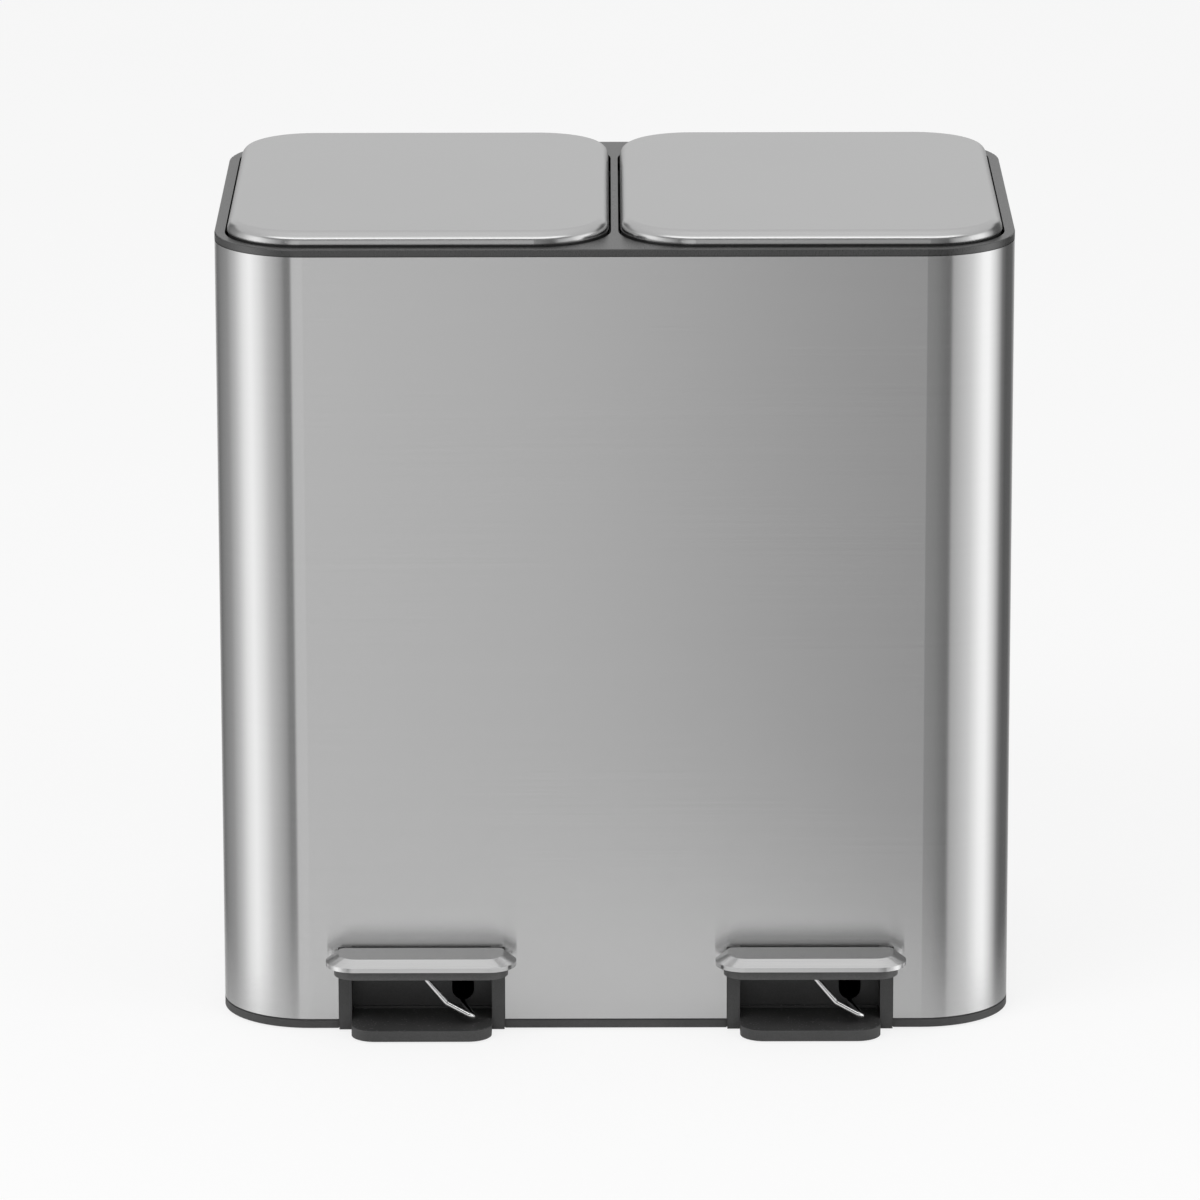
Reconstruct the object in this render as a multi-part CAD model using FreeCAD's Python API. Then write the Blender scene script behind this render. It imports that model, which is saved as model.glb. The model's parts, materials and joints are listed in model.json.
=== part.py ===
"""Double recycling bin with two pedals: a steel sleeve around two lift-out buckets.

Each half works by itself. A pedal slides down its housing and turns a bent wire crank that runs
to the back, the crank lifts a push rod, and the push rod swings the lid open on its rear hinge.

Millimetres, +Z up, the front faces -Y. The origin is under the middle of the whole outline, on
the floor.
"""
import FreeCAD, Part
import math
import os

from FreeCAD import Vector

os.makedirs("parts", exist_ok=True)

# ---------------------------------------------------------------- driving dimensions
body_width = 495.0
body_depth = 325.0
rim_height = 500.5          # top of the collar above the floor
body_corner = 56.0

steel_t = 0.6               # sleeve and lid sheet
foot_proud = 1.0            # rubber feet below the base
base_band_top = 6.0         # visible plastic band at the foot of the sleeve
collar_band = 4.9           # from the top of the sleeve to the collar's top
band_gap = 0.9              # shadow gap between each plastic band and the sleeve
wall_t = 2.4                # moulded walls
bucket_wall = 2.0

lid_margin = 8.0            # from the outside of the collar to the lid
lid_spacing = 7.4           # between the two lids
lid_gap = 1.5               # from a lid to the opening around it
lid_corner = 46.0
lid_rise = 9.0              # lid top above the collar
lid_roll = 7.0              # rounded edge of the lid
lid_shadow_gap = 1.3        # from the collar's top up to the edge of the lid's sheet
liner_drop = 6.5            # liner below the collar's top

lid_angle = 82.0            # how far a lid opens, degrees
crank_throw = 45.0          # rear arm of the crank
crank_turn = 35.0           # how far a pedal turns the crank, degrees
crank_rest = -3.0           # rear arm below level at rest, degrees
wire_r = 1.8                # crank wire

pedal_width = 119.0
pedal_reach = 33.0          # front of the pedal from the sleeve
pedal_top = 54.8
pedal_bevel_drop = 4.6
pedal_bevel_side = 8.0
pedal_bevel_front = 4.4
pedal_lip = 2.8
pedal_sheet = 1.0
cap_width = 108.6
cap_reach = 30.0
cap_bottom = 41.6
housing_width = 103.6
post_width = 7.9
post_proud = 3.0
recess_depth = 20.0
foot_plate_reach = 28.6
foot_plate_t = 6.9
foot_plate_corner = 15.0

inner_floor_top = 58.5
bucket_headroom = 16.5      # from the collar's top down to the buckets' lips
bucket_draft = 9.0          # how much narrower each side is at the bottom
bucket_lip = 3.0

fit = 0.1                   # parts that sit in each other and don't move
running = 0.06              # radial, round parts that turn or slide
clear = 0.4                 # parts that pass each other

# ---------------------------------------------------------------- places worked out from them
front_y = pedal_reach - (body_depth + pedal_reach) / 2
back_y = front_y + body_depth
half_w = body_width / 2
sleeve_bottom = base_band_top + band_gap
sleeve_top = rim_height - collar_band

lid_width = (body_width - 2 * lid_margin - lid_spacing) / 2
lid_x = (lid_spacing + lid_width) / 2
lid_front_y = front_y + lid_margin
lid_back_y = back_y - lid_margin
lid_top = rim_height + lid_rise
liner_bottom = rim_height - liner_drop
sides = {"left": -lid_x, "right": lid_x}

knuckle_r = 2.7
hinge_pin_r = 1.5
hinge_setback = 5.0         # hinge line behind the lid's rear edge
hinge_y = lid_back_y + hinge_setback
hinge_z = rim_height - 3.2
knuckle_half = 12.0
knuckle_arm_drop = 2.4      # from the collar's top down to the arms that carry the knuckles
hinge_spread = 45.0         # knuckles either side of the lid's middle

crank_lift = crank_throw * (
    math.sin(math.radians(crank_turn + crank_rest)) - math.sin(math.radians(crank_rest)))
push_arm = crank_lift / (2 * math.sin(math.radians(lid_angle / 2)))
push_pin_dy = push_arm * math.cos(math.radians(lid_angle / 2))
push_pin_z = hinge_z - push_arm * math.sin(math.radians(lid_angle / 2))
push_pin_y = hinge_y - push_pin_dy
rod_sway = push_arm - push_pin_dy          # the rod moves forward this much half way
push_pin_r = 2.0
rod_half = 3.0                             # the rod is a square bar
rod_eye_r = 4.6
cheek_t = 3.0

crank_axis_offset = 25.5                   # crank line right of the pedal's middle
crank_z = foot_proud + foot_plate_t + 4.6
crank_arm_y = front_y - 16.0               # plane of the wire's front arm
arm_end = (-25.5, 29.4)                    # front arm, x and z from the crank line
arm_kink = (-9.9, 10.2)
arm_tip = (8.0, 0.0)
crank_bend_r = 4.0
crank_pin_gap = 1.0
rod_block_half_y = 4.0
rear_arm_y = push_pin_y - rod_sway - rod_block_half_y - wire_r - crank_pin_gap - clear
crank_pin_end_y = push_pin_y + rod_block_half_y + crank_pin_gap
crank_pin_x = crank_throw * math.cos(math.radians(crank_rest))
crank_pin_dz = crank_throw * math.sin(math.radians(crank_rest))
slot_min_x = crank_throw * math.cos(math.radians(crank_turn + crank_rest))
rod_x_offset = crank_axis_offset + (slot_min_x + crank_throw) / 2
slot_half_x = (crank_throw - slot_min_x) / 2 + wire_r + 0.7
slot_half_z = wire_r + 1.0

arm_radius = math.hypot(*arm_end)
arm_angle = math.atan2(arm_end[1], arm_end[0])
pedal_travel = arm_end[1] - arm_radius * math.sin(arm_angle + math.radians(crank_turn))
arm_contact_gap = 1.5                      # slack between the wire's end and the cap's rib

housing_half = housing_width / 2
housing_top = pedal_top - 1.5
housing_back_y = front_y + recess_depth
cover_rear_y = front_y - post_proud - clear
cover_front_y = front_y - pedal_reach
cap_front_y = front_y - cap_reach

damper_r = 7.0
damper_bore_r = 5.0
damper_length = 42.0
damper_rod_r = 2.0
damper_offset = 20.0                       # damper right of the push rod
damper_gap = 0.8                           # slack between piston rod and shoulder
damper_top = inner_floor_top + damper_length
shoulder_z = damper_top + 4.0

duct_wall = 1.6
duct_front_y = push_pin_y - rod_sway - rod_eye_r - 2.0
duct_half = 12.0
duct_reach = damper_offset + damper_r + duct_wall + 1.5
duct_top = rim_height - collar_band - 22.0

bucket_top = rim_height - bucket_headroom
bucket_bottom = inner_floor_top
bucket_front_y = lid_front_y + 7.0
bucket_back_y = duct_front_y - duct_wall - 1.5
bucket_half = lid_width / 2 - 2.0
bucket_corner = 34.0
bucket_back_corner = 22.0
bucket_lip_t = 2.4
bucket_lip_edge = 1.4
bucket_lip_drop = 9.0


# ---------------------------------------------------------------- shapes
def box(x0, x1, y0, y1, z0, z1):
    return Part.makeBox(x1 - x0, y1 - y0, z1 - z0, Vector(x0, y0, z0))


def rounded_outline(x0, x1, y0, y1, r_front, r_back, z):
    """Closed wire of a rectangle with rounded front (-Y) and back corners."""
    def corner(cx, cy, r, start):
        arc_middle = math.radians(start + 45)
        ends = [Vector(cx + r * math.cos(math.radians(a)), cy + r * math.sin(math.radians(a)), z)
                for a in (start, start + 90)]
        middle = Vector(cx + r * math.cos(arc_middle), cy + r * math.sin(arc_middle), z)
        return ends[0], middle, ends[1]

    corners = [
        corner(x1 - r_back, y1 - r_back, r_back, 0),
        corner(x0 + r_back, y1 - r_back, r_back, 90),
        corner(x0 + r_front, y0 + r_front, r_front, 180),
        corner(x1 - r_front, y0 + r_front, r_front, 270),
    ]
    edges = []
    for index, (start, middle, end) in enumerate(corners):
        edges.append(Part.Arc(start, middle, end).toShape())
        edges.append(Part.LineSegment(end, corners[(index + 1) % 4][0]).toShape())
    return Part.Wire(edges)


def rounded_prism(x0, x1, y0, y1, r_front, z0, z1, r_back=None):
    r_back = r_front if r_back is None else r_back
    outline = rounded_outline(x0, x1, y0, y1, r_front, r_back, z0)
    return Part.Face(outline).extrude(Vector(0, 0, z1 - z0))


def body_prism(inset, z0, z1):
    """The bin's outline, moved in by inset."""
    return rounded_prism(-half_w + inset, half_w - inset, front_y + inset, back_y - inset,
                         body_corner - inset, z0, z1)


def lid_prism(x, inset, z0, z1):
    """A lid's outline about x, moved in by inset."""
    half = lid_width / 2 - inset
    return rounded_prism(x - half, x + half, lid_front_y + inset, lid_back_y - inset,
                         lid_corner - inset, z0, z1)


def rod_x(x, y, z, length, r):
    """Cylinder along X, centred on (x, y, z)."""
    return Part.makeCylinder(r, length, Vector(x - length / 2, y, z), Vector(1, 0, 0))


def rod_y(x, y0, y1, z, r):
    return Part.makeCylinder(r, y1 - y0, Vector(x, y0, z), Vector(0, 1, 0))


def rod_z(x, y, z0, z1, r):
    return Part.makeCylinder(r, z1 - z0, Vector(x, y, z0))


def round_top_edges(solid, r, z):
    """Round the outer edges of a solid that lie at height z."""
    edges = [e for e in solid.Edges
             if abs(e.BoundBox.ZMin - z) < 1e-6 and abs(e.BoundBox.ZMax - z) < 1e-6]
    return solid.makeFillet(r, edges)


def bent_wire(points, wire_radius, bend_radius):
    """Round wire along points, each inner point turned with an arc of bend_radius."""
    edges = []
    start = points[0]
    for before, here, after in zip(points, points[1:], points[2:]):
        into = (here - before).normalize()
        out = (after - here).normalize()
        turn = into.getAngle(out)
        reach = bend_radius * math.tan(turn / 2)
        arc_start = here - into * reach
        arc_end = here + out * reach
        inward = (out - into).normalize()
        arc_middle = here + inward * (bend_radius / math.cos(turn / 2) - bend_radius)
        edges.append(Part.LineSegment(start, arc_start).toShape())
        edges.append(Part.Arc(arc_start, arc_middle, arc_end).toShape())
        start = arc_end
    edges.append(Part.LineSegment(start, points[-1]).toShape())
    first = (points[1] - points[0]).normalize()
    section = Part.Wire(Part.makeCircle(wire_radius, points[0], first))
    return Part.Wire(edges).makePipeShell([section], True, False)


def save(shape, node):
    """Write one node; a group of equal pieces stays separate solids."""
    shape = shape.removeSplitter()
    if len(shape.Solids) == 1:
        shape = shape.Solids[0]
    shape.exportStep("parts/%s.step" % node)


def fuse(pieces):
    return pieces[0].multiFuse(pieces[1:]) if len(pieces) > 1 else pieces[0]


# ---------------------------------------------------------------- the fixed body
def pedal_notch(x, z0):
    """Cut in sleeve and base that a pedal housing fills."""
    return box(x - housing_half - clear, x + housing_half + clear, front_y - 1.0,
               housing_back_y + wall_t + clear, z0, housing_top + clear)


def body_shell():
    """Steel sleeve, open at both ends, cut out at the front for the two pedal housings."""
    sleeve = body_prism(0, sleeve_bottom, sleeve_top).cut(
        body_prism(steel_t, sleeve_bottom - 1, sleeve_top + 1))
    for x in sides.values():
        sleeve = sleeve.cut(pedal_notch(x, sleeve_bottom - 1))
    return sleeve


def seam_strip():
    """Folded strip that closes the sleeve's seam down the inside of the back."""
    strip_half = 9.0
    y1 = back_y - steel_t - fit
    return box(-strip_half, strip_half, y1 - steel_t, y1, inner_floor_top + 1,
               sleeve_top - collar_skirt - 1)


collar_skirt = 14.0         # collar wall inside the sleeve
rest_tab_depth = 5.0        # ledges under the front of each lid
rest_tab_half = 9.0
rest_tab_t = 3.0
bumper_r = 2.2
bumper_t = 2.2
bumper_top = liner_bottom - fit
tab_top = bumper_top - bumper_t
tab_spread = 60.0


def hinge_places(x):
    return [x - hinge_spread, x + hinge_spread]


def top_collar():
    """Moulded rim with an opening for each lid and a bar between them."""
    skirt_inset = steel_t + fit
    band = round_top_edges(body_prism(0, sleeve_top + band_gap, rim_height), 0.8, rim_height)
    skirt = body_prism(skirt_inset, sleeve_top - collar_skirt, rim_height - 1.0)
    hollow = body_prism(skirt_inset + wall_t, sleeve_top - collar_skirt - 1, sleeve_top)
    bar_half = lid_spacing / 2 - lid_gap
    bar = box(-bar_half, bar_half, front_y + skirt_inset + 1, back_y - skirt_inset - 1,
              sleeve_top - collar_skirt, rim_height - 1.0)
    collar = band.fuse(skirt).cut(hollow).fuse(bar)
    for x in sides.values():
        collar = collar.cut(lid_prism(x, -lid_gap, sleeve_top, rim_height + 1))
        for tab_x in (x - tab_spread, x + tab_spread):
            collar = collar.fuse(box(tab_x - rest_tab_half, tab_x + rest_tab_half,
                                     front_y + skirt_inset + wall_t / 2,
                                     lid_front_y - lid_gap + rest_tab_depth,
                                     tab_top - rest_tab_t, tab_top))
        for knuckle_x in hinge_places(x):
            collar = collar.cut(box(knuckle_x - knuckle_half - clear,
                                    knuckle_x + knuckle_half + clear,
                                    lid_back_y - lid_gap, back_y + 1,
                                    hinge_z - knuckle_r - clear, rim_height + 1))
            collar = collar.cut(rod_x(knuckle_x, hinge_y, hinge_z, hinge_pin_length + 2 * fit,
                                      hinge_pin_r + fit / 4))
    return collar


hinge_pin_length = 2 * knuckle_half + 14.0


def hinge_pins(x):
    return [rod_x(knuckle_x, hinge_y, hinge_z, hinge_pin_length, hinge_pin_r)
            for knuckle_x in hinge_places(x)]


def lid_bumpers():
    """Rubber buttons on the collar's ledges that the closed lids rest on."""
    y = lid_front_y - lid_gap + rest_tab_depth - bumper_r - 0.4
    return [rod_z(x + side * tab_spread, y, tab_top, bumper_top, bumper_r)
            for x in sides.values() for side in (-1, 1)]


base_wall_top = inner_floor_top - wall_t
screw_r = 1.7
screw_head_r = 3.4
screw_head_t = 1.6
boss_r = 5.0
boss_inset = 30.0
boss_hole_depth = 12.0
screw_tip_gap = 2.0         # from a screw's tip to the bottom of its hole
screw_head_sink = 0.2


def boss_places():
    """Screw bosses of the base: one near each corner and one at the middle of the back."""
    x = half_w - boss_inset
    return [(-x, front_y + boss_inset), (x, front_y + boss_inset),
            (-x, back_y - boss_inset), (x, back_y - boss_inset), (0, back_y - boss_inset)]


def base_tray():
    """Moulded base: floor, band under the sleeve and a wall inside the sleeve."""
    inside = steel_t + fit
    tray = body_prism(0, foot_proud, base_band_top)
    tray = tray.fuse(body_prism(inside, foot_proud, base_wall_top))
    tray = tray.cut(body_prism(inside + wall_t, foot_proud + wall_t, base_wall_top + 1))
    for x, y in boss_places():
        tray = tray.fuse(rod_z(x, y, foot_proud, base_wall_top, boss_r))
        tray = tray.cut(rod_z(x, y, base_wall_top - boss_hole_depth, base_wall_top + 1,
                              screw_r + fit))
    for x in sides.values():
        tray = tray.cut(pedal_notch(x, foot_proud - 1))
    return tray


def floor_screws():
    """Screws that hold the raised floor on the base's bosses."""
    tip_z = base_wall_top - boss_hole_depth + screw_tip_gap
    head_z = inner_floor_top - screw_head_t
    return [rod_z(x, y, tip_z, head_z, screw_r).fuse(
        rod_z(x, y, head_z, inner_floor_top - screw_head_sink, screw_head_r))
        for x, y in boss_places()]


def duct_opening(x):
    """Outline of the hole in the raised floor under a rod duct."""
    return box(x + rod_x_offset - duct_half + duct_wall, x + rod_x_offset + duct_half - 2.0,
               duct_front_y, back_y - steel_t - wall_t - fit - 2, base_wall_top - 1,
               inner_floor_top + 1)


def inner_floor():
    """Raised floor over the pedal works, where the buckets stand."""
    plate = body_prism(steel_t + 2 * fit, base_wall_top, inner_floor_top)
    for x, y in boss_places():
        plate = plate.cut(rod_z(x, y, base_wall_top - 1, inner_floor_top + 1, screw_r + fit))
        plate = plate.cut(rod_z(x, y, inner_floor_top - screw_head_t, inner_floor_top + 1,
                                screw_head_r + fit))
    for x in sides.values():
        plate = plate.cut(duct_opening(x))
    return plate


foot_r = 9.0
foot_inset = 26.0


def rubber_feet():
    x = half_w - body_corner
    y_front, y_back = front_y + foot_inset, back_y - foot_inset
    return [rod_z(fx, fy, 0, foot_proud, foot_r)
            for fx in (-x, 0, x) for fy in (y_front, y_back)]


# ---------------------------------------------------------------- pedals and their housings
keyhole_r = 6.9
keyhole_z = crank_z + 7.6


def pedal_housing(x):
    """Two posts, the foot plate between them and the wall behind with the wire's keyhole."""
    inner = housing_half - post_width
    back = housing_back_y + wall_t
    pieces = [box(x + s * housing_half - (post_width if s > 0 else 0),
                  x + s * housing_half + (0 if s > 0 else post_width),
                  front_y - post_proud, back, foot_proud, housing_top) for s in (-1, 1)]
    plate = rounded_prism(x - inner, x + inner, front_y - foot_plate_reach, back,
                          foot_plate_corner, foot_proud, foot_proud + foot_plate_t, 0.5)
    plate = round_top_edges(plate, 0.6, foot_proud + foot_plate_t)
    web = box(x - inner - 1, x + inner + 1, front_y + 2, back, foot_proud,
              foot_proud + foot_plate_t - 0.7)
    wall = box(x - inner - 1, x + inner + 1, housing_back_y, back, foot_proud, housing_top)
    roof = box(x - inner - 1, x + inner + 1, front_y + clear, back,
               housing_top - wall_t, housing_top)
    housing = fuse(pieces + [plate, web, wall, roof])
    crank_x = x + crank_axis_offset
    seat_r = wire_r + running
    cut_y0, cut_y1 = housing_back_y - 1, back + 1
    keyhole = rod_y(crank_x, cut_y0, cut_y1, keyhole_z, keyhole_r)
    keyhole = keyhole.fuse(box(crank_x - keyhole_r, crank_x + keyhole_r, cut_y0, cut_y1,
                               keyhole_z, keyhole_z + 8.0))
    keyhole = keyhole.fuse(rod_y(crank_x, cut_y0, cut_y1, crank_z, seat_r))
    keyhole = keyhole.fuse(box(crank_x - seat_r, crank_x + seat_r, cut_y0, cut_y1,
                               crank_z, keyhole_z))
    for screw in housing_screw_holes(x):
        housing = housing.cut(screw)
    return housing.cut(keyhole)


housing_screw_z = housing_top - 9.0
housing_hole_depth = 10.0


def housing_screw_holes(x):
    y1 = housing_back_y + wall_t
    return [rod_y(x + s * (housing_half - post_width / 2), y1 - housing_hole_depth, y1 + 1,
                  housing_screw_z, screw_r + fit) for s in (-1, 1)]


def housing_screws():
    """Screws that hold the housings from behind, two each."""
    head_y = housing_back_y + wall_t + fit
    tip_y = head_y - housing_hole_depth + screw_tip_gap
    screws = []
    for x in sides.values():
        for s in (-1, 1):
            sx = x + s * (housing_half - post_width / 2)
            screws.append(rod_y(sx, tip_y, head_y, housing_screw_z, screw_r).fuse(
                rod_y(sx, head_y, head_y + screw_head_t, housing_screw_z, screw_head_r)))
    return screws


guide_half = housing_half - post_width - clear     # the cap's guide between the posts
guide_neck = 4.0


def pedal_outline(x, inset, z):
    """Widest outline of the steel pedal cover."""
    half = pedal_width / 2 - inset
    return rounded_outline(x - half, x + half, cover_front_y + inset, cover_rear_y - inset,
                           18.0 - inset, 10.0 - inset, z)


def pedal_flat_outline(x, inset, z):
    half = pedal_width / 2 - pedal_bevel_side - inset
    return rounded_outline(x - half, x + half, cover_front_y + pedal_bevel_front + inset,
                           cover_rear_y - 0.8 - inset, 12.0 - inset, 4.0 - inset, z)


def pedal_block(x, inset, top, bevel_bottom, bottom):
    bevel = Part.makeLoft([pedal_outline(x, inset, bevel_bottom),
                           pedal_flat_outline(x, inset, top)], True, True)
    lip = Part.Face(pedal_outline(x, inset, bottom)).extrude(Vector(0, 0, bevel_bottom - bottom))
    return bevel.fuse(lip)


def pedal_cover(x):
    """Pressed steel tread: flat top, sloped edge all round and a short lip."""
    bevel_bottom = pedal_top - pedal_bevel_drop
    bottom = bevel_bottom - pedal_lip
    outer = pedal_block(x, 0, pedal_top, bevel_bottom, bottom)
    inner = pedal_block(x, pedal_sheet, pedal_top - pedal_sheet, bevel_bottom - pedal_sheet / 3,
                        bottom - 1)
    guide_slot = box(x - guide_half - fit, x + guide_half + fit, cover_rear_y - guide_neck - fit,
                     cover_rear_y + 1, bottom - 1, pedal_top - pedal_sheet)
    return outer.cut(inner).cut(guide_slot)


def pedal_cap(x):
    """Moulded cap under the tread: skirt around the posts, rear guide and rib for the wire."""
    half = cap_width / 2
    ceiling_top = pedal_top - pedal_sheet - fit
    ceiling = ceiling_top - 2.5
    skirt_t = (cap_width - housing_width) / 2 - clear
    block = rounded_prism(x - half, x + half, cap_front_y, cover_rear_y - 1.2, 14.0,
                          cap_bottom, ceiling, 6.0)
    inside = rounded_prism(x - half + skirt_t, x + half - skirt_t, cap_front_y + skirt_t,
                           cover_rear_y + 2, 14.0 - skirt_t, cap_bottom - 1, ceiling - 0.01, 0.5)
    flat_half = pedal_width / 2 - pedal_bevel_side - pedal_sheet - fit
    top = rounded_prism(x - flat_half, x + flat_half,
                        cover_front_y + pedal_bevel_front + pedal_sheet + fit,
                        cover_rear_y - 2.2, 12.0, ceiling - 0.2, ceiling_top, 4.0)
    guide_z0 = cap_bottom + 2.4
    guide_z1 = housing_top - wall_t - clear
    guide = box(x - guide_half, x + guide_half, cover_rear_y - guide_neck, housing_back_y - 5.0,
                guide_z0, guide_z1)
    guide = guide.cut(box(x - guide_half + 3, x + guide_half - 3, cover_rear_y - 1.5,
                          housing_back_y, guide_z0 + 2.4, guide_z1 + 1))
    bridge = box(x - guide_half, x + guide_half, cover_rear_y - guide_neck,
                 cover_rear_y - pedal_sheet - fit, guide_z0, ceiling)
    slide = arm_radius * math.cos(arm_angle + math.radians(crank_turn)) - arm_end[0]
    end_x = x + crank_axis_offset + arm_end[0]
    rib_z0 = crank_z + arm_end[1] + wire_r + arm_contact_gap
    rib = box(end_x + slide - 5, end_x + 5, crank_arm_y - 4, crank_arm_y + 4, rib_z0, ceiling)
    return fuse([block.cut(inside), top, guide, bridge, rib])


def pedal_crank(x):
    """One bent wire: arm under the pedal, straight run to the back, arm and pin for the rod."""
    cx = x + crank_axis_offset
    front_arm = [Vector(cx + dx, crank_arm_y, crank_z + dz)
                 for dx, dz in (arm_end, arm_kink, arm_tip)]
    shaft = [Vector(cx, housing_back_y - 5.0, crank_z), Vector(cx, rear_arm_y, crank_z)]
    pin = [Vector(cx + crank_pin_x, y, crank_z + crank_pin_dz)
           for y in (rear_arm_y, crank_pin_end_y)]
    return bent_wire(front_arm + shaft + pin, wire_r, crank_bend_r)


bearing_half = 7.0
bearing_t = 8.0


def crank_bearing(x):
    """Block on the base that carries the crank's rear end."""
    cx = x + crank_axis_offset
    y1 = rear_arm_y - crank_bend_r - wire_r - 2.0
    block = box(cx - bearing_half, cx + bearing_half, y1 - bearing_t, y1,
                foot_proud + wall_t, crank_z + 6.0)
    return block.cut(rod_y(cx, y1 - bearing_t - 1, y1 + 1, crank_z, wire_r + running))


# ---------------------------------------------------------------- push rods and dampers
def push_rod(x):
    """Upright bar: eye on the lid's pin, shoulder over the damper, slotted foot on the crank."""
    rx, ry = x + rod_x_offset, push_pin_y
    foot_z = crank_z + crank_pin_dz
    foot_half_x = slot_half_x + 2.0
    foot_half_z = slot_half_z + 1.5
    bar = box(rx - rod_half, rx + rod_half, ry - rod_half + 1, ry + rod_half - 1, foot_z + slot_half_z,
              push_pin_z)
    eye = rod_x(rx, ry, push_pin_z, 2 * rod_half, rod_eye_r)
    foot = box(rx - foot_half_x, rx + foot_half_x, ry - rod_block_half_y, ry + rod_block_half_y,
               foot_z - foot_half_z, foot_z + foot_half_z)
    shoulder = box(rx, rx + damper_offset + damper_rod_r + 1, ry - rod_half + 1,
                   ry + rod_half - 1, shoulder_z, shoulder_z + 4.0)
    slot = box(rx - slot_half_x, rx + slot_half_x, ry - rod_block_half_y - 1,
               ry + rod_block_half_y + 1, foot_z - slot_half_z, foot_z + slot_half_z)
    hole = rod_x(rx, ry, push_pin_z, 2 * rod_half + 2, push_pin_r + running)
    return fuse([bar, eye, foot, shoulder]).cut(slot).cut(hole)


def rod_duct(x):
    """Three-sided channel on the back wall that keeps the bags off rod and damper."""
    rx = x + rod_x_offset
    y1 = back_y - steel_t - fit
    x0, x1 = rx - duct_half, rx + duct_reach
    z0 = inner_floor_top
    outer = box(x0, x1, duct_front_y - duct_wall, y1 - steel_t, z0, duct_top)
    inner = box(x0 + duct_wall, x1 - duct_wall, duct_front_y, y1 + 1, z0 - 1, duct_top + 1)
    return outer.cut(inner).common(body_prism(steel_t + fit, z0, duct_top))


def damper_place(x):
    return x + rod_x_offset + damper_offset, push_pin_y - rod_sway / 2


def damper_cylinder(x):
    """Soft-close damper that stands in the duct."""
    dx, dy = damper_place(x)
    body = rod_z(dx, dy, inner_floor_top, damper_top, damper_r)
    bore = rod_z(dx, dy, inner_floor_top + 2.5, damper_top - 2.5, damper_bore_r)
    return body.cut(bore).cut(rod_z(dx, dy, damper_top - 3, damper_top + 1,
                                    damper_rod_r + running))


def damper_piston(x):
    dx, dy = damper_place(x)
    z0 = inner_floor_top + 3.0
    disc = rod_z(dx, dy, z0, z0 + 4.0, damper_bore_r - running)
    return disc.fuse(rod_z(dx, dy, z0, shoulder_z - damper_gap, damper_rod_r))


# ---------------------------------------------------------------- lids
def lid_skin(x):
    """Drawn steel lid with a rolled edge."""
    z0 = rim_height + lid_shadow_gap
    outer = round_top_edges(lid_prism(x, 0, z0, lid_top), lid_roll, lid_top)
    inner = round_top_edges(lid_prism(x, steel_t, z0 - 1, lid_top - steel_t),
                            lid_roll - steel_t, lid_top - steel_t)
    return outer.cut(inner)


liner_plate_t = 2.0


def lid_liner(x):
    """Moulded lining: skirt, knuckles on the hinge line and two cheeks for the push rod's pin."""
    inset = steel_t + fit
    roll = lid_roll - inset
    top = lid_top - inset
    outer = round_top_edges(lid_prism(x, inset, liner_bottom, top), roll, top)
    cavity = round_top_edges(
        lid_prism(x, inset + wall_t, liner_bottom - 1, top - liner_plate_t),
        roll - wall_t, top - liner_plate_t)
    liner = outer.cut(cavity)
    pieces = [liner]
    wall_y = lid_back_y - inset
    for kx in hinge_places(x):
        x0, x1 = kx - knuckle_half, kx + knuckle_half
        pieces.append(rod_x(kx, hinge_y, hinge_z, 2 * knuckle_half, knuckle_r))
        pieces.append(box(x0, x1, wall_y - 1.0, hinge_y, hinge_z - knuckle_r,
                          rim_height - knuckle_arm_drop))
    rx = x + rod_x_offset
    for s in (-1, 1):
        cheek_x = rx + s * (rod_half + clear + cheek_t / 2)
        pieces.append(rod_x(cheek_x, push_pin_y, push_pin_z, cheek_t, rod_eye_r))
        pieces.append(box(cheek_x - cheek_t / 2, cheek_x + cheek_t / 2, push_pin_y - rod_eye_r,
                          push_pin_y + rod_eye_r, push_pin_z, top - liner_plate_t + 0.5))
    liner = fuse(pieces)
    for kx in hinge_places(x):
        liner = liner.cut(rod_x(kx, hinge_y, hinge_z, 2 * knuckle_half + 2,
                                hinge_pin_r + running))
    return liner.cut(rod_x(rx, push_pin_y, push_pin_z, 40.0, push_pin_r + fit / 4))


def push_pin(x):
    """Pin through the lid's cheeks and the push rod's eye."""
    length = 2 * (rod_half + clear + cheek_t) + 1.0
    return rod_x(x + rod_x_offset, push_pin_y, push_pin_z, length, push_pin_r)


# ---------------------------------------------------------------- buckets
def bucket_block(x, inset, z0, z1):
    """Tapered block of a bucket between two heights, moved in by inset."""
    def outline(z):
        taper = bucket_draft * (bucket_top - z) / (bucket_top - bucket_bottom)
        move = bucket_lip + inset + taper
        return rounded_outline(x - bucket_half + move, x + bucket_half - move,
                               bucket_front_y + move, bucket_back_y - move,
                               bucket_corner - inset - taper / 2,
                               bucket_back_corner - inset - taper / 2, z)
    return Part.makeLoft([outline(z0), outline(z1)], True, True)


def bucket_rim(x, inset, z0, z1):
    """Outline of the bucket's lip, moved in by inset."""
    return rounded_prism(x - bucket_half + inset, x + bucket_half - inset,
                         bucket_front_y + inset, bucket_back_y - inset,
                         bucket_corner + bucket_lip - inset, z0, z1,
                         bucket_back_corner + bucket_lip - inset)


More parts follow.
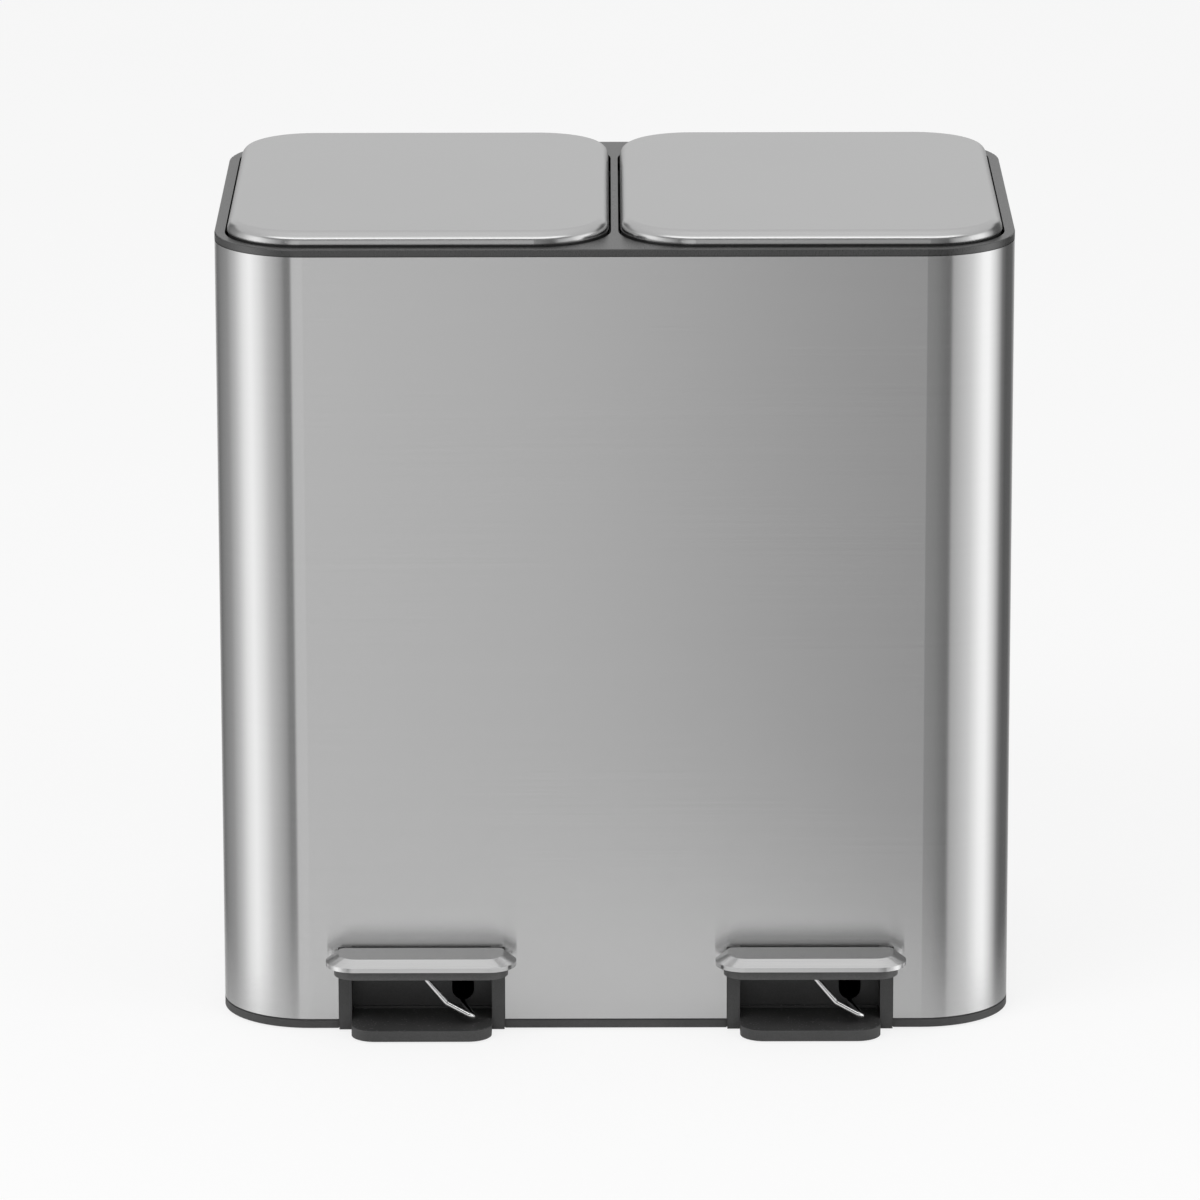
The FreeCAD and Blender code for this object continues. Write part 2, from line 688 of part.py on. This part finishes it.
def inner_bucket(x):
    """Lift-out bucket with a turned-down lip and two square holes for its handle."""
    body = bucket_block(x, 0, bucket_bottom, bucket_top - bucket_lip_t / 2)
    lip = bucket_rim(x, 0, bucket_top - bucket_lip_drop, bucket_top)
    lip = lip.cut(bucket_rim(x, bucket_lip_edge, bucket_top - bucket_lip_drop - 1,
                             bucket_top - bucket_lip_t))
    hollow = bucket_block(x, bucket_wall, bucket_bottom + bucket_wall, bucket_top + 5)
    bucket = body.fuse(lip).cut(hollow)
    reach = bucket_wall + clear
    hole = handle_r + clear
    for s in (-1, 1):
        wall_x = x + s * (bucket_half - bucket_lip - bucket_wall / 2)
        bucket = bucket.cut(box(wall_x - reach, wall_x + reach, handle_y - hole, handle_y + hole,
                                handle_pivot_z - hole, handle_pivot_z + hole))
    return bucket


handle_r = 1.6
handle_pivot_z = bucket_top - 5.4
handle_y = (bucket_front_y + bucket_back_y) / 2
handle_inset = 8.5
handle_corner = 24.0


def bucket_handle(x):
    """Wire bail, folded flat to the front inside the bucket's lip."""
    half = bucket_half - handle_inset
    end = bucket_half - bucket_lip + 1.2
    y_front = bucket_front_y + handle_inset + 4.0
    plan = [(-end, handle_y), (-half, handle_y), (-half, y_front + handle_corner),
            (-half + handle_corner, y_front), (half - handle_corner, y_front),
            (half, y_front + handle_corner), (half, handle_y), (end, handle_y)]
    points = [Vector(x + dx, y, handle_pivot_z) for dx, y in plan]
    return bent_wire(points, handle_r, handle_r + 0.8)


# ---------------------------------------------------------------- write every node
single_nodes = {
    "body_shell": body_shell,
    "seam_strip": seam_strip,
    "top_collar": top_collar,
    "base_tray": base_tray,
    "inner_floor": inner_floor,
}
group_nodes = {
    "lid_bumpers": lid_bumpers,
    "floor_screws": floor_screws,
    "rubber_feet": rubber_feet,
    "housing_screws": housing_screws,
}
side_nodes = {
    "pedal_housing": pedal_housing,
    "pedal_cover": pedal_cover,
    "pedal_cap": pedal_cap,
    "pedal_crank": pedal_crank,
    "crank_bearing": crank_bearing,
    "push_rod": push_rod,
    "push_pin": push_pin,
    "rod_duct": rod_duct,
    "damper_cylinder": damper_cylinder,
    "damper_piston": damper_piston,
    "lid_skin": lid_skin,
    "lid_liner": lid_liner,
    "inner_bucket": inner_bucket,
    "bucket_handle": bucket_handle,
}

for node, make in single_nodes.items():
    save(make(), node)
for node, make in group_nodes.items():
    save(Part.makeCompound(make()), node)
for side, x in sides.items():
    for node, make in side_nodes.items():
        save(make(x), "%s_%s" % (node, side))
    save(Part.makeCompound(hinge_pins(x)), "hinge_pins_%s" % side)

print("lids open %.1f deg, rods lift %.2f mm, pedals drop %.2f mm" % (
    lid_angle, crank_lift, pedal_travel))
print("hinge y %.3f z %.3f, push pin y %.3f z %.3f, crank x %.3f/%.3f z %.3f" % (
    hinge_y, hinge_z, push_pin_y, push_pin_z, sides["left"] + crank_axis_offset,
    sides["right"] + crank_axis_offset, crank_z))
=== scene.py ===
"""Looks of the double recycling bin: satin and brushed steel, moulded plastic, bright wire.

Metres, +Z up, the front faces -Y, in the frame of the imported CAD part.
"""
import json
import math

import bmesh
import bpy
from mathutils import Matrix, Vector


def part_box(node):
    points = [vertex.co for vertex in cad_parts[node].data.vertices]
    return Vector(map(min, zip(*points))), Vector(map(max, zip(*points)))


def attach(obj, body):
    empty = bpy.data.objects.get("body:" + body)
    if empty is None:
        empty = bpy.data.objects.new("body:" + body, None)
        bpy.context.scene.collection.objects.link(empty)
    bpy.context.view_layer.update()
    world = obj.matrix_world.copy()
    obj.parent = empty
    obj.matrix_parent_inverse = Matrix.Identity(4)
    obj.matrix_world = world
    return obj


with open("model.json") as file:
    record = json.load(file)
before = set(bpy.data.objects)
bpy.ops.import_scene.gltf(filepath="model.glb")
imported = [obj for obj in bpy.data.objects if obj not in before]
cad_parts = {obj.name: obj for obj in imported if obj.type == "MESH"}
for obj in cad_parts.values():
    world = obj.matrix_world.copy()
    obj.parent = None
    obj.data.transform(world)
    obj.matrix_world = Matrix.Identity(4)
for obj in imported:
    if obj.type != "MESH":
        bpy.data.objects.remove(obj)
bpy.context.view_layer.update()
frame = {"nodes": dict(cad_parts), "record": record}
nodes = frame["nodes"]
mm = 0.001
sides = ("left", "right")


# ---------------------------------------------------------------- material helpers
class Shader:
    """A new material with a Principled shader and short calls for adding nodes to it."""

    def __init__(self, name):
        self.material = bpy.data.materials.new(name)
        self.material.use_nodes = True
        self.tree = self.material.node_tree
        self.surface = self.tree.nodes["Principled BSDF"]
        self.place = self.node("ShaderNodeTexCoord").outputs["Object"]

    def node(self, kind, **settings):
        made = self.tree.nodes.new(kind)
        for name, value in settings.items():
            setattr(made, name, value)
        return made

    def feed(self, target, source):
        """Connects source to target if it is a socket, else sets it as a constant."""
        if isinstance(source, bpy.types.NodeSocket):
            self.tree.links.new(source, target)
        else:
            target.default_value = source

    def set(self, **inputs):
        for name, source in inputs.items():
            self.feed(self.surface.inputs[name.replace("_", " ")], source)

    def noise(self, scale, detail=2.0, stretch=(1, 1, 1)):
        """Noise of scale grains per metre, multiplied by stretch along each axis."""
        mapping = self.node("ShaderNodeMapping")
        mapping.inputs["Scale"].default_value = [scale * s for s in stretch]
        self.feed(mapping.inputs["Vector"], self.place)
        noise = self.node("ShaderNodeTexNoise")
        self.feed(noise.inputs["Vector"], mapping.outputs["Vector"])
        noise.inputs["Scale"].default_value = 1.0
        noise.inputs["Detail"].default_value = detail
        return noise.outputs["Fac"]

    def span(self, source, low, high, start=0.3, end=0.7):
        """Source values from start to end, turned into low to high."""
        spread = self.node("ShaderNodeMapRange")
        self.feed(spread.inputs["Value"], source)
        limits = {"From Min": start, "From Max": end, "To Min": low, "To Max": high}
        for name, value in limits.items():
            spread.inputs[name].default_value = value
        return spread.outputs["Result"]

    def tint(self, source, dark, light):
        """Ramp between two colours over the middle of the source's values."""
        ramp = self.node("ShaderNodeValToRGB")
        for element, colour, place in zip(ramp.color_ramp.elements, (dark, light), (0.3, 0.7)):
            element.color = (*colour, 1.0)
            element.position = place
        self.feed(ramp.inputs["Fac"], source)
        return ramp.outputs["Color"]

    def math(self, operation, *sources):
        made = self.node("ShaderNodeMath", operation=operation)
        for socket, source in zip(made.inputs, sources):
            self.feed(socket, source)
        return made.outputs[0]

    def bump(self, height, distance, strength):
        bump = self.node("ShaderNodeBump")
        self.feed(bump.inputs["Height"], height)
        bump.inputs["Distance"].default_value = distance
        bump.inputs["Strength"].default_value = strength
        return bump.outputs["Normal"]


def grey(value):
    """Grey of that linear value."""
    return (value, value, value)


# ---------------------------------------------------------------- materials
def brushed_steel(name, value, roughness, grain, anisotropy, axis, contrast, scratch):
    """Steel with fine brush lines. grain is how often the shade changes per metre along X, Y and
    Z: seldom along the lines. The gloss stretches round axis, and scratch is the lines' depth."""
    s = Shader(name)
    lines = s.noise(1.0, detail=3.0, stretch=grain)
    cloud = s.noise(14.0, detail=2.0)
    colour = s.tint(lines, grey(value * (1 - contrast)), grey(value * (1 + contrast)))
    tangent = s.node("ShaderNodeTangent", direction_type="RADIAL", axis=axis)
    rough = s.math("ADD", s.span(lines, roughness * 0.95, roughness * 1.05),
                   s.span(cloud, -0.005, 0.005))
    s.set(Base_Color=colour, Metallic=1.0, Roughness=rough, Anisotropic=anisotropy,
          Anisotropic_Rotation=0.25, Tangent=tangent.outputs["Tangent"],
          Normal=s.bump(lines, scratch, 0.25))
    return s.material


def wire_steel(name, value, roughness):
    """Bright drawn wire with faint marks."""
    s = Shader(name)
    marks = s.noise(600.0, detail=2.0)
    s.set(Base_Color=s.tint(marks, grey(value * 0.94), grey(value * 1.04)), Metallic=1.0,
          Roughness=s.span(marks, roughness * 0.7, roughness * 1.4))
    return s.material


def moulded_plastic(name, value, roughness, texture=0.03 * mm, grains=1400.0, shine=1.5, dust=0.0):
    """Moulded plastic with a fine spark-eroded texture and slight shade changes. shine is the
    refractive index, and dust the grey of a few specks on faces that look up."""
    speck = 0.25
    s = Shader(name)
    fine = s.noise(grains, detail=2.0)
    cloud = s.noise(30.0, detail=3.0)
    mixed = s.math("MULTIPLY_ADD", fine, 0.6, s.span(cloud, 0.1, 0.3))
    colour = s.tint(mixed, grey(value * (1 - speck)), grey(value * (1 + speck)))
    if dust:
        facing = s.node("ShaderNodeSeparateXYZ")
        s.feed(facing.inputs[0], s.node("ShaderNodeNewGeometry").outputs["Normal"])
        specks = s.math("MULTIPLY", s.span(s.noise(800.0, detail=0.0), 0.0, 1.0, 0.72, 0.80),
                        s.span(facing.outputs["Z"], 0.0, 1.0, 0.8, 0.95))
        dusty = s.node("ShaderNodeMixRGB")
        for socket, source in zip(dusty.inputs, (specks, colour, (*grey(dust), 1.0))):
            s.feed(socket, source)
        colour = dusty.outputs[0]
    s.set(Base_Color=colour,
          Roughness=s.span(fine, roughness - 0.06, roughness + 0.08),
          Normal=s.bump(fine, texture, 0.6), IOR=shine)
    return s.material


sleeve_steel = brushed_steel("brushed_steel", 0.60, 0.18, grain=(4, 4, 2600), anisotropy=1.0,
                             axis="Z", contrast=0.015, scratch=0.002 * mm)
lid_steel = brushed_steel("lid_steel", 0.53, 0.19, grain=(6, 1500, 1500), anisotropy=0.3,
                          axis="Y", contrast=0.012, scratch=0.002 * mm)
tread_steel = brushed_steel("tread_steel", 0.60, 0.15, grain=(10, 2200, 2200), anisotropy=0.2,
                            axis="Y", contrast=0.03, scratch=0.001 * mm)
bright_wire = wire_steel("wire_steel", 0.82, 0.16)
zinc = wire_steel("screw_steel", 0.52, 0.30)
collar_plastic = moulded_plastic("collar_plastic", 0.024, 0.30, shine=1.8)
base_plastic = moulded_plastic("base_plastic", 0.052, 0.42, dust=0.2)
pedal_plastic = moulded_plastic("pedal_plastic", 0.075, 0.42)
damper_plastic = moulded_plastic("damper_plastic", 0.42, 0.38)
bucket_plastic = moulded_plastic("bucket_plastic", 0.035, 0.40, texture=0.05 * mm, grains=900.0)
rubber = moulded_plastic("foot_rubber", 0.018, 0.75, texture=0.06 * mm, grains=700.0)

finish_of_slot = {
    "brushed_steel": sleeve_steel, "lid_steel": lid_steel, "tread_steel": tread_steel,
    "wire_steel": bright_wire, "screw_steel": zinc, "collar_plastic": collar_plastic,
    "base_plastic": base_plastic, "pedal_plastic": pedal_plastic,
    "damper_plastic": damper_plastic, "bucket_plastic": bucket_plastic, "foot_rubber": rubber,
}
for part in frame["record"]["subparts"]:
    slots = nodes[part["node"]].data.materials
    slots.clear()
    slots.append(finish_of_slot[part["material_slot"]])


# ---------------------------------------------------------------- details added to the CAD part
def blocks(name, boxes, finish, body, edge):
    """One piece made of small blocks with rounded edges; boxes are (lowest, highest) corners.
    It moves with the body, and edge is how far the rounding reaches."""
    faces = ((3, 2, 1, 0), (4, 5, 6, 7), (0, 1, 5, 4), (1, 2, 6, 5), (2, 3, 7, 6), (3, 0, 4, 7))
    shape = bmesh.new()
    for (x0, y0, z0), (x1, y1, z1) in boxes:
        corners = [shape.verts.new((x, y, z)) for z in (z0, z1)
                   for x, y in ((x0, y0), (x1, y0), (x1, y1), (x0, y1))]
        for face in faces:
            shape.faces.new([corners[i] for i in face])
    bmesh.ops.bevel(shape, geom=shape.edges, offset=edge, segments=2, profile=0.5,
                    affect="EDGES", clamp_overlap=True)
    mesh = bpy.data.meshes.new(name)
    shape.to_mesh(mesh)
    shape.free()
    mesh.materials.append(finish)
    piece = bpy.data.objects.new(name, mesh)
    bpy.context.scene.collection.objects.link(piece)
    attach(piece, body)


def post_seals(side):
    """Dark lips that close the narrow gaps between the posts and the cut in the sleeve."""
    low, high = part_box("pedal_housing_" + side)
    gap, sunk, depth = 0.5 * mm, 0.1 * mm, 8 * mm
    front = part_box("body_shell")[0].y + 0.7 * mm
    bottom = low.z + 0.2 * mm
    boxes = [((low.x - gap, front, bottom), (low.x + sunk, front + depth, high.z)),
             ((high.x - sunk, front, bottom), (high.x + gap, front + depth, high.z))]
    blocks("post_seals_" + side, boxes, base_plastic, "root", 0.1 * mm)


def housing_sill(side):
    """Low ledge along the foot of the housing's wall, between the posts."""
    low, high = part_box("pedal_housing_" + side)
    post, wall, reach, sunk = 8.5 * mm, 2.4 * mm, 1.6 * mm, 0.2 * mm
    bottom, top = 7.0 * mm, 9.4 * mm
    wall_y = high.y - wall
    sill = ((low.x + post, wall_y - reach, bottom), (high.x - post, wall_y + sunk, top))
    blocks("housing_sill_" + side, [sill], base_plastic, "root", 0.4 * mm)


def lid_ribs(side):
    """Stiffening ribs moulded under each lid."""
    low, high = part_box("lid_skin_" + side)
    middle = (low.x + high.x) / 2
    inset, half, skin, depth = 3.3 * mm, 0.8 * mm, 2.6 * mm, 7.5 * mm
    x0, x1 = low.x + inset, high.x - inset
    y0, y1 = low.y + inset, high.y - inset
    top = high.z - skin
    bottom = top - depth
    across = [y0 + (y1 - y0) * part for part in (0.25, 0.5, 0.75)]
    along = [middle + shift * mm for shift in (-62, -14, 34)]
    boxes = [((x0, y - half, bottom), (x1, y + half, top)) for y in across]
    boxes += [((x - half, y0, bottom), (x + half, y1, top)) for x in along]
    blocks("lid_ribs_" + side, boxes, collar_plastic, "lid_" + side, 0.3 * mm)


def back_seam():
    """Hairline where the ends of the sleeve's sheet meet down the middle of the back."""
    low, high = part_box("body_shell")
    half, proud, sunk, short = 0.9 * mm, 0.15 * mm, 0.2 * mm, 1 * mm
    strip = ((-half, high.y - sunk, low.z + short), (half, high.y + proud, high.z - short))
    blocks("back_seam", [strip], sleeve_steel, "root", 0.1 * mm)


def base_ribs():
    """Shallow ribs under the base, clear of the floor."""
    low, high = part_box("base_tray")
    bottom, top, half = 0.35 * mm, low.z + 0.1 * mm, 0.8 * mm
    end_x, front, back = 232 * mm, low.y + 30 * mm, high.y - 16 * mm
    across = [front + (back - front) * part for part in (0.2, 0.45, 0.7)]
    along = [x * mm for x in (-155, -75, 75, 155)]
    boxes = [((-end_x, y - half, bottom), (end_x, y + half, top)) for y in across]
    boxes += [((x - half, front, bottom), (x + half, back, top)) for x in along]
    blocks("base_ribs", boxes, base_plastic, "root", 0.2 * mm)


for side in sides:
    post_seals(side)
    housing_sill(side)
    lid_ribs(side)
back_seam()
base_ribs()


# ---------------------------------------------------------------- studio
def studio_floor():
    """Pale floor that keeps the object's shadow. The steel mirrors it near the object only:
    farther off, mirrored rays pass through it to the studio around."""
    half, near, far, narrow, paleness = 20.0, 0.30, 0.66, 1.8, 0.8
    mesh = bpy.data.meshes.new("studio_floor")
    corners = [(-half, -half, 0), (half, -half, 0), (half, half, 0), (-half, half, 0)]
    mesh.from_pydata(corners, [], [(0, 1, 2, 3)])
    floor = bpy.data.objects.new("studio_floor", mesh)
    bpy.context.scene.collection.objects.link(floor)
    s = Shader("floor_paper")
    s.set(Base_Color=s.tint(s.noise(3.0), grey(0.93), grey(0.95)), Roughness=0.9)
    path = s.node("ShaderNodeLightPath")
    oval = s.node("ShaderNodeMapping")
    s.feed(oval.inputs["Vector"], s.place)
    oval.inputs["Scale"].default_value = (narrow, 1.0, 1.0)
    away = s.node("ShaderNodeVectorMath", operation="LENGTH")
    s.feed(away.inputs[0], oval.outputs[0])
    glowing = s.math("MULTIPLY", path.outputs["Is Camera Ray"], paleness)
    passing = s.math("MULTIPLY", path.outputs["Is Glossy Ray"],
                     s.span(away.outputs["Value"], 0.0, 1.0, near, far))
    shown = s.surface.outputs[0]
    for factor, shader in ((glowing, "ShaderNodeEmission"), (passing, "ShaderNodeBsdfTransparent")):
        mix = s.node("ShaderNodeMixShader")
        s.feed(mix.inputs[0], factor)
        s.feed(mix.inputs[1], shown)
        s.feed(mix.inputs[2], s.node(shader).outputs[0])
        shown = mix.outputs[0]
    s.feed(s.tree.nodes["Material Output"].inputs["Surface"], shown)
    mesh.materials.append(s.material)


def studio_world():
    """White to the camera. Mirrors see tall soft panels beside the object, with darker gaps
    between them, a light strip in front above them and a pale ceiling."""
    world = bpy.data.worlds.new("studio")
    bpy.context.scene.world = world
    world.use_nodes = True
    tree = world.node_tree
    tree.nodes.clear()

    def add(kind, *sources, **settings):
        made = tree.nodes.new(kind)
        for name, value in settings.items():
            setattr(made, name, value)
        for socket, source in zip(made.inputs, sources):
            if isinstance(source, bpy.types.NodeSocket):
                tree.links.new(source, socket)
            elif source is not None:
                socket.default_value = source
        return made

    def ramp(angle, lowest, highest, stops):
        """Brightness up to 2 by angle. stops are pairs of degrees and brightness."""
        place = add("ShaderNodeMapRange", angle, math.radians(lowest), math.radians(highest)).outputs[0]
        made = add("ShaderNodeValToRGB", place)
        elements = made.color_ramp.elements
        while len(elements) < len(stops):
            elements.new(0.5)
        for element, (degrees, value) in zip(elements, stops):
            element.position = (degrees - lowest) / (highest - lowest)
            element.color = (*grey(value / 2), 1)
        return made.outputs["Color"]

    # Where a ray goes: turn is 0 to the front and grows to the right, rise is 0 on the horizon.
    direction = add("ShaderNodeSeparateXYZ", add("ShaderNodeTexCoord").outputs["Generated"])
    x, y, z = direction.outputs
    front = add("ShaderNodeMath", y, -1.0, operation="MULTIPLY").outputs[0]
    turn = add("ShaderNodeMath", x, front, operation="ARCTAN2").outputs[0]
    rise = add("ShaderNodeMath", z, operation="ARCSINE").outputs[0]

    panels = ramp(turn, -180, 180, [
        (-180, 0.62), (-165, 0.55), (-152, 0.18), (-140, 0.28), (-118, 0.42), (-100, 0.8),
        (-85, 1.32), (-74, 1.52), (-60, 1.2), (-48, 0.82), (-36, 0.58), (-28, 0.38),
        (-25, 0.25), (-18, 0.25), (-16, 0.8), (-3, 0.80), (0, 0.66), (1.7, 0.46), (2.3, 0.36),
        (29, 0.17), (33, 0.2), (36, 0.56), (62, 1.0), (80, 1.54), (90, 1.6), (102, 1.1),
        (118, 0.25), (128, 0.13), (150, 0.15), (165, 0.5), (180, 0.62)])
    ceiling = ramp(rise, 0, 90, [(0, 0.72), (19, 0.74), (90, 0.98)])
    strip = ramp(rise, 0, 90, [(0, 0.66), (7, 0.5), (10, 0.24), (33, 0.24), (36, 2.0), (46, 2.0),
                               (50, 1.05), (90, 0.98)])

    # The strip is in front only. The panels end a little over the horizon, and lower at the back.
    in_front = add("ShaderNodeMapRange", front, 0.3, 0.55).outputs[0]
    upper = add("ShaderNodeMixRGB", in_front, ceiling, strip).outputs[0]
    lower_end = add("ShaderNodeMapRange", y, 0.80, 0.95, 0.0, 0.3).outputs[0]
    height = add("ShaderNodeMath", z, lower_end).outputs[0]
    over_panels = add("ShaderNodeMapRange", height, 0.30, 0.42).outputs[0]
    around = add("ShaderNodeMixRGB", over_panels, panels, upper).outputs[0]
    downward = add("ShaderNodeMapRange", z, -0.3, -0.55, 0.0, 0.65).outputs[0]
    around = add("ShaderNodeMixRGB", downward, around, (*grey(0.36), 1)).outputs[0]

    path = add("ShaderNodeLightPath").outputs
    mirrored = add("ShaderNodeBackground", around, 2.0).outputs[0]
    ambient = add("ShaderNodeBackground", (*grey(0.62), 1), 1.0).outputs[0]
    white = add("ShaderNodeBackground", (*grey(1.0), 1), 1.0).outputs[0]
    lit = add("ShaderNodeMixShader", path["Is Glossy Ray"], ambient, mirrored).outputs[0]
    seen = add("ShaderNodeMixShader", path["Is Camera Ray"], lit, white).outputs[0]
    add("ShaderNodeOutputWorld", seen)


def soft_lamp(name, place, aim, size, power):
    """Square lamp of that size and watts. The steel mirrors the studio's panels, not the lamps."""
    data = bpy.data.lights.new(name, "AREA")
    data.shape = "SQUARE"
    data.size = size
    data.energy = power
    lamp = bpy.data.objects.new(name, data)
    lamp.location = place
    lamp.rotation_euler = (Vector(aim) - Vector(place)).to_track_quat("-Z", "Y").to_euler()
    lamp.visible_glossy = False
    bpy.context.scene.collection.objects.link(lamp)


def photo_camera():
    """The photograph's viewing angle: in front, a little above, from far away."""
    distance, height, offset = 5.0, 1.571, -0.007
    tilt_down, roll = math.radians(14.91), math.radians(0.11)
    focal_px, frame_px = 8120.0, 1200.0
    data = bpy.data.cameras.new("camera")
    data.sensor_width = 36.0
    data.lens = focal_px / frame_px * data.sensor_width
    data.clip_end = 100.0
    camera = bpy.data.objects.new("camera", data)
    camera.location = (offset, -distance, height)
    camera.rotation_euler = (math.pi / 2 - tilt_down, roll, 0)
    bpy.context.scene.collection.objects.link(camera)
    bpy.context.scene.camera = camera


studio_floor()
studio_world()
soft_lamp("key_lamp", (-1.2, -1.6, 2.4), (0, 0, 0.25), 1.6, 26)
soft_lamp("fill_lamp", (1.8, -1.4, 1.6), (0, 0, 0.25), 1.6, 12)
photo_camera()
bpy.context.scene.view_settings.view_transform = "Standard"
